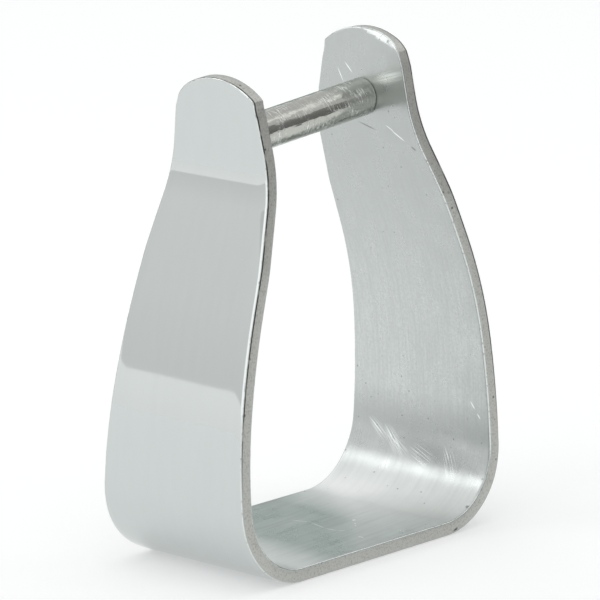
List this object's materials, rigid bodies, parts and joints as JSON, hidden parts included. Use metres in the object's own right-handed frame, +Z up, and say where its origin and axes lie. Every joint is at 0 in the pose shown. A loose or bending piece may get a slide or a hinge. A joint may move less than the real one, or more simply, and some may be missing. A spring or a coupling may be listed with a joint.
{
  "type": "stirrup iron",
  "caption": "Wide-tread stirrup iron bent from one flat aluminium strip, with a round crossbar at its neck for the stirrup leather and a slanted neck.",
  "frame": {"origin": "on the underside of the tread, under its middle", "axes": "+Z up from the tread to the neck, X across the stirrup from the short branch at -X to the long branch at +X, Y the way the foot goes through"},
  "size_m": [0.126, 0.0634, 0.1689],
  "materials": {
    "body_aluminium": "outside polished bright, inside and tread satin, edges ground",
    "bar_aluminium": "polished, with wear scratches",
    "weld_aluminium": "ground flush and polished"
  },
  "bodies": {
    "root": {"stirrup_body": "body_aluminium", "crossbar": "bar_aluminium", "plug_weld_short_side": "weld_aluminium", "plug_weld_long_side": "weld_aluminium"}
  },
  "joints": []
}
